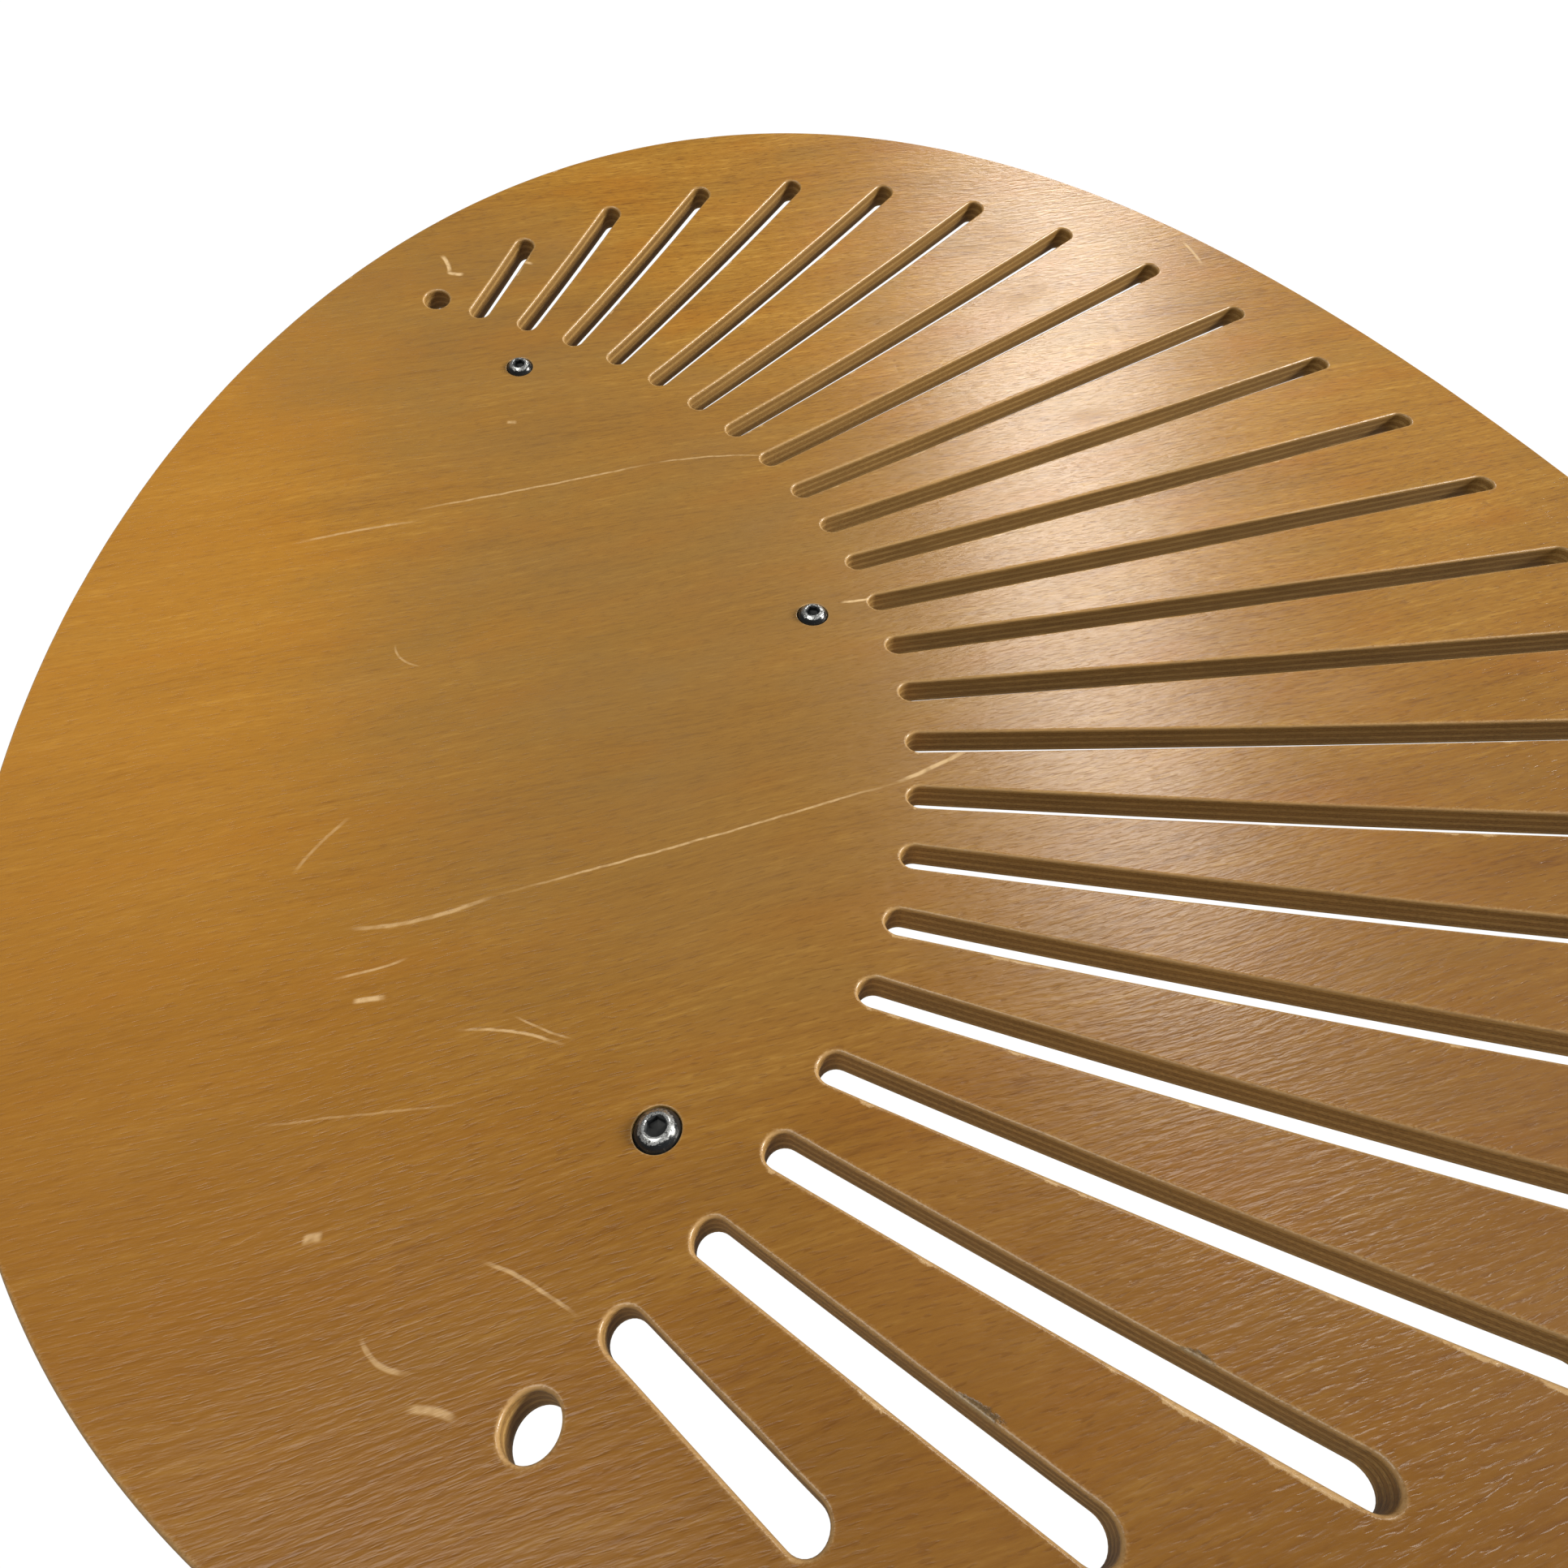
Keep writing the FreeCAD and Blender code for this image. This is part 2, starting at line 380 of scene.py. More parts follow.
@dataclass(frozen=True)
class SlotFan:
    """Sizes of the disc, its fan of slots and its holes, on the flat blank."""

    disc_radius: float = 280.0 * MM
    hub_u: float = -194.5 * MM
    disc_centre_ahead: float = 221.2 * MM
    slot_count: int = 23
    slot_width: float = 8.0 * MM
    slot_lean: float = 0.56
    inner_arc_radius: float = 214.8 * MM
    inner_pitch: float = 5.66
    ray_origin_setback: float = 19.0 * MM
    outer_pitch: float = 5.22
    rim_margin: float = 31.1 * MM
    end_hole_radius: float = 5.25 * MM
    end_hole_arc_radius: float = 220.4 * MM
    end_hole_angle: float = 67.2
    screw_arc_radius: float = 194.5 * MM
    side_screw_angle: float = 54.2
    recess_radius: float = 5.35 * MM
    recess_depth: float = 1.4 * MM
    shank_hole_radius: float = 3.2 * MM
    edge_rounding: float = 0.8 * MM
    foot_rounding: float = 0.3 * MM
    recess_rounding: float = 0.3 * MM
    edge_step: float = 3.0 * MM
    rim_points: int = 540
    hole_points: int = 48
    nose_points: int = 16
    rim_chips: float = 0.25
    slot_chips: float = 0.2
    right_slot_chips: float = 0.6
    last_right_slot: int = -4

    @property
    def disc_u(self) -> float:
        """Place of the disc's centre along the trough."""
        return self.hub_u + self.disc_centre_ahead

    def screw_places(self) -> dict[str, tuple[float, float]]:
        """Blank points of the three screws."""
        radius, angle = self.screw_arc_radius, self.side_screw_angle
        return {
            "front": polar(self.hub_u, radius, 0.0),
            "left": polar(self.hub_u, radius, angle),
            "right": polar(self.hub_u, radius, -angle),
        }

    def slot_ends(self, index: int) -> tuple[tuple[float, float], tuple[float, float]]:
        """Blank points of a slot's inner and outer tip; index 0 is the middle slot."""
        inner = polar(self.hub_u, self.inner_arc_radius, index * self.inner_pitch)
        origin = self.hub_u - self.ray_origin_setback
        angle = math.radians(index * self.outer_pitch)
        ahead = self.disc_u - origin
        along = ahead * math.cos(angle)
        limit = self.disc_radius - self.rim_margin
        reach = along + math.sqrt(along**2 - ahead**2 + limit**2)
        return inner, (origin + reach * math.cos(angle), reach * math.sin(angle))

    def rim(self, wear: "EdgeWear") -> Cut:
        """The disc's outer edge."""
        outward = compass(self.rim_points)
        flat = outward * self.disc_radius
        flat[:, 0] += self.disc_u
        spread, chipped = wear.along(-outward, self.edge_rounding, self.rim_chips)
        return Cut(flat, -outward, None, self.edge_rounding, spread, chipped, is_rim=True)

    def hole(self, place: tuple[float, float], radius: float, rounding: float) -> Cut:
        """A round hole."""
        outward = compass(self.hole_points)
        flat = outward * radius + np.array(place)
        spread = np.full(len(flat), rounding)
        return Cut(flat, outward, place[1], rounding, spread, np.zeros(len(flat)))

    def slot(self, blank: BentBlank, index: int, wear: "EdgeWear") -> Cut:
        """One slot: a straight bar with round ends, leaning by a share of the face's slope.

        Args:
            blank: The bent blank.
            index: The slot's number; 0 is the middle one.
            wear: How its edge has worn.

        Returns:
            The slot's line.
        """
        (u0, v0), (u1, v1) = self.slot_ends(index)
        middle_v = (v0 + v1) / 2
        half = blank.bend_radius * math.sin((v1 - v0) / 2 / blank.bend_radius)
        start, end = np.array([u0, -half]), np.array([u1, half])
        along = (end - start) / np.linalg.norm(end - start)
        side = np.array([-along[1], along[0]])
        radius = self.slot_width / 2
        start, end = start + along * radius, end - along * radius
        steps = max(4, int(np.linalg.norm(end - start) / self.edge_step))
        share = np.linspace(0, 1, steps, endpoint=False)[:, None]
        turn = np.linspace(0, np.pi, self.nose_points, endpoint=False)[:, None]
        nose = side * np.cos(turn) + along * np.sin(turn)
        flank = np.repeat(side[None], steps, 0)
        outward = np.concatenate([flank, nose, -flank, -nose])
        there, back = start + (end - start) * share, end + (start - end) * share
        still = np.zeros_like(nose)
        line = np.concatenate([there, end + still, back, start + still])
        flat = line + outward * radius
        flat[:, 1] = middle_v + blank.bend_radius * np.arcsin(flat[:, 1] / blank.bend_radius)
        chance = self.right_slot_chips if index <= self.last_right_slot else self.slot_chips
        spread, chipped = wear.along(outward, self.edge_rounding, chance)
        lean_v = middle_v * self.slot_lean
        return Cut(flat, outward, lean_v, self.edge_rounding, spread, chipped)


@dataclass
class EdgeWear:
    """How the sanded edges wander, and where they are chipped."""

    seed: int
    wander: float = 0.12
    chip_width: float = 0.25 * MM
    patch_points: int = 3
    source: np.random.Generator = field(init=False)

    def __post_init__(self) -> None:
        """Starts the seeded source."""
        self.source = np.random.default_rng(self.seed)

    def along(
        self, inward: np.ndarray, rounding: float, chance: float
    ) -> tuple[np.ndarray, np.ndarray]:
        """Width of the rounding and amount of chipping along a closed line.

        Args:
            inward: Directions into the wood at the line's points.
            rounding: The rounding's mean width.
            chance: Share of the side that faces the right that is chipped.

        Returns:
            The width at each point, and the chipping from 0 to 1.
        """
        count = len(inward)
        rough = self.source.normal(size=count)
        soft = (rough + np.roll(rough, 1) + np.roll(rough, -1)) / 3
        facing = np.clip(-inward[:, 1] * 1.5, 0, 1)
        patches = self.source.random(count // self.patch_points + 1)
        patch = np.repeat(patches, self.patch_points)[:count]
        chipped = facing * (patch < 0.5 * chance) * np.clip(0.4 + 0.5 * rough, 0, 1)
        spread = rounding * (1 + self.wander * soft) + self.chip_width * chipped
        return spread, chipped


# ---- meshes -------------------------------------------------------------------------------------


@dataclass
class ShellBuilder:
    """Collects rings and faces, with a normal at every corner, and makes one mesh of them."""

    points: list[np.ndarray] = field(default_factory=list)
    edges: list[np.ndarray] = field(default_factory=list)
    chips: list[np.ndarray] = field(default_factory=list)
    faces: list[np.ndarray] = field(default_factory=list)
    normals: list[np.ndarray] = field(default_factory=list)
    count: int = 0

    def ring(self, places: np.ndarray, edge: np.ndarray, chip: np.ndarray) -> np.ndarray:
        """Adds vertices.

        Args:
            places: Their places.
            edge: How near each is to a wall, from 0 on the face to 1 on the wall.
            chip: How chipped each is.

        Returns:
            Their numbers.
        """
        self.points.append(places)
        self.edges.append(edge)
        self.chips.append(chip)
        numbers = np.arange(self.count, self.count + len(places))
        self.count += len(places)
        return numbers

    def skin(self, corners: np.ndarray, normals: np.ndarray) -> None:
        """Adds faces with their corner normals, turned so that they face along them.

        Args:
            corners: Vertex numbers, one row for each face.
            normals: Normals, one for each corner.
        """
        every = np.concatenate(self.points)
        p = every[corners]
        flat_normal = np.cross(p[:, 1] - p[:, 0], p[:, 2] - p[:, 0])
        wrong = np.einsum("ij,ij->i", flat_normal, normals.mean(1)) < 0
        corners, normals = corners.copy(), normals.copy()
        corners[wrong] = corners[wrong][:, ::-1]
        normals[wrong] = normals[wrong][:, ::-1]
        self.faces.append(corners)
        self.normals.append(normals)

    def mesh(self, name: str) -> bpy.types.Mesh:
        """Makes the mesh.

        Args:
            name: The mesh's name.

        Returns:
            The mesh, smooth, with its own normals.
        """
        made = bpy.data.meshes.new(name)
        rows = [row for block in self.faces for row in block.tolist()]
        made.from_pydata(np.concatenate(self.points).tolist(), [], rows)
        for label, values in (("edge", self.edges), ("chip", self.chips)):
            kept = made.attributes.new(label, "FLOAT", "POINT")
            kept.data.foreach_set("value", np.concatenate(values).astype(np.float32))
        made.shade_smooth()
        normals = np.concatenate([block.reshape(-1, 3) for block in self.normals])
        made.normals_split_custom_set(normals.tolist())
        made.update()
        return made


class Grain(Enum):
    """Which way a veneer's grain runs."""

    ALONG = "along the trough"
    ACROSS = "across the trough"


class Side(Enum):
    """Where a veneer lies in the panel."""

    TOP = "upper face"
    CORE = "core"
    BOTTOM = "lower face"


Border = tuple[np.ndarray, np.ndarray]


@dataclass
class Veneer:
    """One veneer of the panel, cut through by the slots and holes."""

    name: str
    number: int
    side: Side
    grain: Grain
    blank: BentBlank
    fan: SlotFan
    grid_step: float = 9.0 * MM
    seen_clearance: float = 6.2 * MM
    hidden_clearance: float = 5.6 * MM
    edge_bands: tuple[tuple[float, float], ...] = ((0.8 * MM, 0.36), (3.2 * MM, 0.0))
    rounding_steps: int = 4
    top_seed: int = 7
    core_seed: int = 19

    @property
    def top(self) -> float:
        """Depth of the veneer's upper side."""
        return self.number * self.blank.ply_thickness

    @property
    def foot(self) -> float:
        """Depth of the veneer's lower side."""
        return self.top + self.blank.ply_thickness

    def cuts(self) -> list[Cut]:
        """The rim and every opening, as this veneer has them.

        Returns:
            The cuts. A veneer that the screws' recesses end in gets a ledge round their holes.
        """
        fan = self.fan
        wear = EdgeWear(self.top_seed if self.side is Side.TOP else self.core_seed)
        half = fan.slot_count // 2
        found = [fan.rim(wear)]
        found += [fan.slot(self.blank, index, wear) for index in range(-half, half + 1)]
        for angle in (-fan.end_hole_angle, fan.end_hole_angle):
            place = polar(fan.hub_u, fan.end_hole_arc_radius, angle)
            found.append(fan.hole(place, fan.end_hole_radius, fan.edge_rounding))
        in_recess = self.top < fan.recess_depth
        whole = in_recess and self.foot <= fan.recess_depth
        radius = fan.recess_radius if whole else fan.shank_hole_radius
        for place in fan.screw_places().values():
            cut = fan.hole(place, radius, fan.recess_rounding)
            if in_recess and not whole:
                cut.ledge = fan.recess_radius - fan.shank_hole_radius
                cut.ledge_depth = fan.recess_depth
            found.append(cut)
        return found

    def wall(self, cut: Cut) -> list[tuple[np.ndarray, float, float]]:
        """Steps down one cut's wall: offset into the wood, depth, and turn of the normal.

        Args:
            cut: The cut.

        Returns:
            The steps from the upper side to the lower. The turn is 0 up, 1 level and 2 down.
        """
        level = np.zeros(len(cut.flat))
        quarter = [math.pi / 2 * n / self.rounding_steps for n in range(self.rounding_steps + 1)]
        rounded = [
            (cut.spread * (1 - math.sin(a)), cut.rounding * (1 - math.cos(a)), a / math.pi * 2)
            for a in quarter
        ]
        if self.side is Side.TOP:
            return rounded + [(level, self.foot, 1.0)]
        if self.side is Side.BOTTOM:
            share = min(1.0, self.fan.foot_rounding / cut.rounding)
            flipped = [
                (offset * share, self.foot - depth * share, 2 - turn)
                for offset, depth, turn in rounded
            ]
            return [(level, self.top, 1.0)] + flipped[::-1]
        if cut.ledge:
            wide = level + cut.ledge
            return [
                (wide, self.top, 1.0),
                (wide, cut.ledge_depth, 1.0),
                (wide, cut.ledge_depth, 0.0),
                (level, cut.ledge_depth, 0.0),
                (level, cut.ledge_depth, 1.0),
                (level, self.foot, 1.0),
            ]
        return [(level, self.top, 1.0), (level, self.foot, 1.0)]

    def walls(self, shell: ShellBuilder, cuts: list[Cut]) -> list[list[Border]]:
        """Adds every cut's wall.

        Args:
            shell: Where the faces go.
            cuts: The veneer's cuts.

        Returns:
            For each cut, its upper and its lower ring, each as vertex numbers and blank points.
        """
        ends = []
        for cut in cuts:
            rings: list[tuple[np.ndarray, np.ndarray, np.ndarray, float, np.ndarray]] = []
            for offset, depth, turn in self.wall(cut):
                flat = cut.at(self.blank, offset, depth)
                angle = math.pi / 2 * turn
                into = self.blank.turned(flat, cut.inward)
                normal = self.blank.ups(flat) * math.cos(angle) - into * math.sin(angle)
                repeated = rings and rings[-1][3] == depth and np.array_equal(rings[-1][4], offset)
                if repeated:
                    numbers = rings[-1][0]
                else:
                    level = 0.5 + 0.5 * min(turn, 2 - turn)
                    numbers = shell.ring(
                        self.blank.places(flat, depth), np.full(len(flat), level), cut.chipped
                    )
                rings.append((numbers, flat, normal, depth, offset))
            for (a, _, na, _, _), (b, _, nb, _, _) in zip(rings, rings[1:]):
                if a is b:
                    continue
                corners = np.stack([a, np.roll(a, -1), np.roll(b, -1), b], 1)
                normals = np.stack([na, np.roll(na, -1, 0), np.roll(nb, -1, 0), nb], 1)
                shell.skin(corners, normals)
            ends.append([rings[0][:2], rings[-1][:2]])
        return ends

    def cap(
        self, shell: ShellBuilder, cuts: list[Cut], ends: list[list[Border]], is_upper: bool
    ) -> None:
        """Closes the veneer's upper or lower side.

        Args:
            shell: Where the faces go.
            cuts: The veneer's cuts.
            ends: Each cut's end rings, from walls.
            is_upper: Whether this is the upper side.
        """
        depth = self.top if is_upper else self.foot
        seen = self.side is (Side.TOP if is_upper else Side.BOTTOM)
        rings = [pair[0 if is_upper else 1] for pair in ends]
        border = np.concatenate([flat for _, flat in rings])
        inner = self.grid(border, self.seen_clearance if seen else self.hidden_clearance)
        level = [np.zeros(len(inner))]
        if seen:
            bands = []
            for cut, (_, flat) in zip(cuts, rings):
                for reach, value in self.edge_bands:
                    bands.append(flat + cut.inward * reach)
                    level.append(np.full(len(flat), value))
            inner = np.concatenate([inner] + bands)
        numbers = shell.ring(
            self.blank.places(inner, depth), np.concatenate(level), np.zeros(len(inner))
        )
        every = np.concatenate([border, inner])
        index = np.concatenate([n for n, _ in rings] + [numbers])
        owner = [np.full(len(flat), k) for k, (_, flat) in enumerate(rings)]
        owner = np.concatenate(owner + [np.full(len(inner), -1)])
        lines, start = [], 0
        for _, flat in rings:
            count = len(flat)
            lines += [(start + n, start + (n + 1) % count) for n in range(count)]
            start += count
        scaled = [Vector(p) for p in (every * 1000).tolist()]
        _, _, faces, source, _, _ = delaunay_2d_cdt(scaled, lines, [], 0, 1e-6)
        triangles = np.array([s[0] for s in source])[np.array(faces)]
        keep = np.ones(len(triangles), bool)
        own = owner[triangles]
        alone = (own[:, 0] >= 0) & (own[:, 0] == own[:, 1]) & (own[:, 1] == own[:, 2])
        for k, (cut, (_, flat)) in enumerate(zip(cuts, rings)):
            chosen = np.nonzero(alone & (own[:, 0] == k))[0]
            inside = self.within(every[triangles[chosen]].mean(1), flat)
            keep[chosen] = inside if cut.is_rim else ~inside
        triangles = triangles[keep]
        up = self.blank.ups(every)[triangles] * (1.0 if is_upper else -1.0)
        shell.skin(index[triangles], up)

    def grid(self, border: np.ndarray, clear: float) -> np.ndarray:
        """Blank points spread over the disc, clear of every edge.

        Args:
            border: Points of the edges.
            clear: How far the points keep from them.

        Returns:
            The points.
        """
        reach = self.fan.disc_radius
        steps = np.arange(-reach, reach + self.grid_step, self.grid_step)
        u, v = np.meshgrid(steps, steps * math.sqrt(3) / 2)
        u[1::2] += self.grid_step / 2
        points = np.stack([u.ravel() + self.fan.disc_u, v.ravel()], 1)
        out = np.hypot(points[:, 0] - self.fan.disc_u, points[:, 1])
        points = points[out < reach - clear]
        gaps = [np.hypot(*(border - p).T).min() for p in points]
        return points[np.array(gaps) > clear]

    @staticmethod
    def within(points: np.ndarray, outline: np.ndarray) -> np.ndarray:
        """Whether points lie inside a closed outline."""
        a, b = outline, np.roll(outline, -1, 0)
        x, y = points[:, :1], points[:, 1:]
        crosses = (a[:, 1] > y) != (b[:, 1] > y)
        rise = np.where(b[:, 1] == a[:, 1], 1e-12, b[:, 1] - a[:, 1])
        meets = a[:, 0] + (y - a[:, 1]) / rise * (b[:, 0] - a[:, 0])
        return (crosses & (x < meets)).sum(1) % 2 == 1

    def build(self, finish: bpy.types.Material, slot: str) -> bpy.types.Object:
        """Makes the veneer and puts it in the CAD veneer's place.

        Args:
            finish: Its material.
            slot: Its material slot in the record.

        Returns:
            The veneer.
        """
        shell = ShellBuilder()
        cuts = self.cuts()
        ends = self.walls(shell, cuts)
        self.cap(shell, cuts, ends, True)
        self.cap(shell, cuts, ends, False)
        return placed(self.name, shell.mesh(self.name), finish, slot, Matrix.Identity(4))


def placed(
    node: str, mesh: bpy.types.Mesh, finish: bpy.types.Material, slot: str, matrix: Matrix
) -> bpy.types.Object:
    """Puts a piece in the scene in a CAD node's place.

    Args:
        node: The CAD node that it stands for.
        mesh: Its mesh.
        finish: Its material.
        slot: Not used.
        matrix: Its placement.

    Returns:
        The piece.
    """
    piece = bpy.data.objects.new(node + "_look", mesh)
    bpy.context.scene.collection.objects.link(piece)
    piece.matrix_world = matrix
    mesh.materials.append(finish)
    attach(piece, "root")
    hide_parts(node)
    LOG.info("%s: %d vertices, %d faces", piece.name, len(mesh.vertices), len(mesh.polygons))
    return piece


Ring = tuple["np.ndarray | float", "np.ndarray | float"]


def lathed(
    name: str, rings: list[Ring], sides: int, is_tube: bool, crease: float
) -> bpy.types.Mesh:
    """Mesh of rings about Z.

    Args:
        name: The mesh's name.
        rings: Radius and height of each ring, as numbers or as one value for each side.
        sides: How many points each ring has.
        is_tube: Whether the last ring joins the first; otherwise both ends close on the axis.
        crease: Edges turning by more than this many degrees are sharp.

    Returns:
        The mesh.
    """
    turn = np.linspace(0, 2 * np.pi, sides, endpoint=False)
    points, faces = [], []
    for radius, height in rings:
        r, z = np.broadcast_to(radius, sides), np.broadcast_to(height, sides)
        points.append(np.stack([r * np.cos(turn), r * np.sin(turn), z], 1))
    last = len(rings) - 1
    for low, high in [(n, n + 1) for n in range(last)] + [(last, 0)] * is_tube:
        for n in range(sides):
            m = (n + 1) % sides
            faces.append((low * sides + n, low * sides + m, high * sides + m, high * sides + n))
    every = np.concatenate(points)
    if not is_tube:
        ends = [points[0].mean(0), points[-1].mean(0)]
        every = np.concatenate([every, ends])
        base, top = len(rings) * sides, last * sides
        for n in range(sides):
            m = (n + 1) % sides
            faces += [(base, m, n), (base + 1, top + n, top + m)]
    made = bpy.data.meshes.new(name)
    made.from_pydata(every.tolist(), [], faces)
    made.shade_smooth()
    made.set_sharp_from_angle(angle=math.radians(crease))
    made.update()
    return made


@dataclass(frozen=True)
class ButtonScrew:
    """M6 button-head screw with a hexagon socket; height 0 is the panel's upper face."""

    thread_radius: float = 3.0 * MM
    root_radius: float = 2.45 * MM
    pitch: float = 1.0 * MM
    neck_radius: float = 2.675 * MM
    thread_top: float = -13.1 * MM
    seat: float = -1.4 * MM
    tip: float = -21.4 * MM
    tip_chamfer: float = 0.7 * MM
    head_radius: float = 5.25 * MM
    rim_height: float = 0.35 * MM
    crown: float = 1.9 * MM
    flat_radius: float = 2.95 * MM
    shoulder: tuple[float, float] = (4.42 * MM, 0.75 * MM)
    across_flats: float = 4.0 * MM
    socket_depth: float = 2.1 * MM
    socket_chamfer: float = 0.25 * MM
    under_chamfer: float = 0.12 * MM
    drill_radius: float = 1.2 * MM
    drill_depth: float = 0.5 * MM
    dome_steps: int = 14
    thread_step: float = 0.1 * MM
    ridge_height: float = 1.35
    ridge_slope: float = 3.4
    runout_slope: float = 0.8
    sides: int = 72
    crease: float = 38.0

    def dome(self) -> list[Ring]:
        """Rings of the dome, from the head's rim to its flat.

        Returns:
            The rings, on the round arc through the rim, the shoulder and the flat.
        """
        first = np.array([self.head_radius, self.seat + self.rim_height])
        last = np.array([self.flat_radius, self.crown])
        middle = np.array(self.shoulder)
        rows = np.array([middle - first, last - first]) * 2
        sums = [middle @ middle - first @ first, last @ last - first @ first]
        centre = np.linalg.solve(rows, sums)
        radius = np.linalg.norm(first - centre)
        a0, a1 = (math.atan2(*(p - centre)[::-1]) for p in (first, last))
        turns = np.linspace(a0, a1, self.dome_steps)
        r, z = centre
        return [(r + radius * math.cos(a), z + radius * math.sin(a)) for a in turns]

    def thread(self) -> list[Ring]:
        """Rings of the thread, from the tip up to the neck.

        Returns:
            The rings; each is wavy, and the wave turns with height as the thread winds.
        """
        turn = np.arange(self.sides) / self.sides
        rings: list[Ring] = []
        for height in np.arange(self.tip, self.thread_top, self.thread_step):
            phase = (height / self.pitch - turn) % 1.0
            ridge = np.clip(self.ridge_height - np.abs(phase - 0.5) * self.ridge_slope, 0, 1)
            radius = self.root_radius + (self.thread_radius - self.root_radius) * ridge
            limit = self.thread_radius - self.tip_chamfer + (height - self.tip)
            runout = self.neck_radius + (self.thread_top - height) * self.runout_slope
            rings.append((np.minimum(np.minimum(radius, limit), runout), height))
        return rings

    def build(self, node: str, finish: bpy.types.Material, matrix: Matrix) -> bpy.types.Object:
        """Makes one screw.

        Args:
            node: The CAD node that it stands for.
            finish: Its material.
            matrix: Its placement.

        Returns:
            The screw.
        """
        turn = np.linspace(0, 360, self.sides, endpoint=False)
        hexagon = self.across_flats / 2 / np.cos(np.radians((turn + 30) % 60 - 30))
        corner = self.across_flats / math.sqrt(3)
        mouth = corner + self.socket_chamfer
        floor = self.crown - self.socket_depth
        rings = self.thread()
        rings += [(self.neck_radius, self.thread_top), (self.neck_radius, self.seat)]
        rings += [(self.head_radius - self.under_chamfer, self.seat)]
        rings += [(self.head_radius, self.seat + self.under_chamfer)]
        rings += self.dome()
        rings += [(self.flat_radius * 0.96, self.crown), (mouth, self.crown)]
        rings += [(hexagon, self.crown - (mouth - hexagon)), (hexagon, floor + 0.1 * MM)]
        rings += [(hexagon * 0.95, floor), (self.drill_radius, floor - self.drill_depth / 2)]
        rings += [(0.1 * MM, floor - self.drill_depth)]
        mesh = lathed(node, rings, self.sides, False, self.crease)
        return placed(node, mesh, finish, "black_screw", matrix)


@dataclass(frozen=True)
class Spacer:
    """Nylon ring between the panel and its frame, dished on top to fit the bend."""

    bore: float = 3.1 * MM
    radius: float = 8.0 * MM
    height: float = 4.0 * MM
    chamfer: float = 0.6 * MM
    soft: float = 0.2 * MM
    sides: int = 96
    crease: float = 50.0

    def build(
        self, node: str, finish: bpy.types.Material, matrix: Matrix, blank: BentBlank
    ) -> bpy.types.Object:
        """Makes one spacer.

        Args:
            node: The CAD node that it stands for.
            finish: Its material.
            matrix: Its placement.
            blank: The bent blank that it fits.

        Returns:
            The spacer.
        """
        turn = np.linspace(0, 2 * np.pi, self.sides, endpoint=False)
        foot = -(blank.thickness + self.height)
        outer = blank.bend_radius + blank.thickness

        def lid(radius: float, drop: float) -> Ring:
            """Ring under the panel, drop below its lower face."""
            across = radius * np.sin(turn)
            return radius, blank.bend_radius - np.sqrt(outer**2 - across**2) - drop

        rings: list[Ring] = [
            (self.bore, foot + self.soft),
            (self.bore + self.soft, foot),
            (self.radius - self.chamfer - self.soft, foot),
            (self.radius - self.chamfer, foot + 0.05 * MM),
            (self.radius, foot + self.chamfer),
            (self.radius, foot + self.chamfer + self.soft),
            lid(self.radius, self.soft),
            lid(self.radius - self.soft, 0.0),
            lid(self.bore + self.soft, 0.0),
            lid(self.bore, self.soft),
        ]
        mesh = lathed(node, rings, self.sides, True, self.crease)
        return placed(node, mesh, finish, "nylon", matrix)


# ---- finishes -----------------------------------------------------------------------------------


@dataclass(frozen=True)
class Spot:
    """Where a finish is read: millimetres along, across and below the panel's upper face."""

    tree: FinishTree
    u: Term
    v: Term
    depth: Term

    @classmethod
    def on(cls, tree: FinishTree, blank: BentBlank) -> "Spot":
        """Every spot of a veneer.

        Args:
            tree: The finish.
            blank: The bent blank.

        Returns:
            The spot, unrolled from the bend.
        """
        x, y, z = tree.place()
        drop = blank.axis_height / MM - z
        radius = blank.bend_radius / MM
        across = tree.math("ARCTAN2", y, drop) * radius
        depth = tree.math("SQRT", y * y + drop * drop) - radius
        return cls(tree, x, across, depth)

    def noise(
        self,
        along: float,
        across: float,
        layer: "Term | float",
        detail: float = 2.0,
        roughness: float = 0.5,
    ) -> Term:
        """Soft noise from 0 to 1.

        Args:
            along: Length of its cells, in millimetres.
            across: Their width.
            layer: The noise's third coordinate.
            detail: How many finer layers it has.
            roughness: How strong the finer layers are.

        Returns:
            The noise.
        """
        place = self.tree.vector(self.u / along, self.v / across, layer)
        return self.tree.noise(place, detail, roughness)

    def away(self, point: tuple[float, float]) -> tuple[Term, Term]:
        """How far the spot lies along and across from a point."""
        return self.u - point[0], self.v - point[1]


@dataclass(frozen=True)
class Scratch:
    """A scratch in the lacquer, in millimetres on the blank."""

    start: tuple[float, float]
    end: tuple[float, float]
    bow: float = 0.0
    width: float = 0.5
    strength: float = 0.6
    edge: tuple[float, float] = (0.4, 1.25)
    fade_in: tuple[float, float] = (-0.04, 0.22)
    fade_out: tuple[float, float] = (0.74, 1.04)

    def mask(self, spot: Spot, wobble: Term) -> Term:
        """Where the scratch is, from 0 to its strength.

        Args:
            spot: Where the finish is read.
            wobble: Sideways wander of the scratch's line.

        Returns:
            The mask.
        """
        du, dv = self.end[0] - self.start[0], self.end[1] - self.start[1]
        length = math.hypot(du, dv)
        ahead, aside = spot.away(self.start)
        share = (ahead * du + aside * dv) / length**2
        off = (aside * du - ahead * dv) / length + wobble
        if self.bow:
            off = off - share * (1.0 - share) * (4 * self.bow)
        near = 1.0 - abs(off).rise(self.width * self.edge[0], self.width * self.edge[1])
        ends = share.rise(*self.fade_in) * (1.0 - share.rise(*self.fade_out))
        return near * ends * self.strength


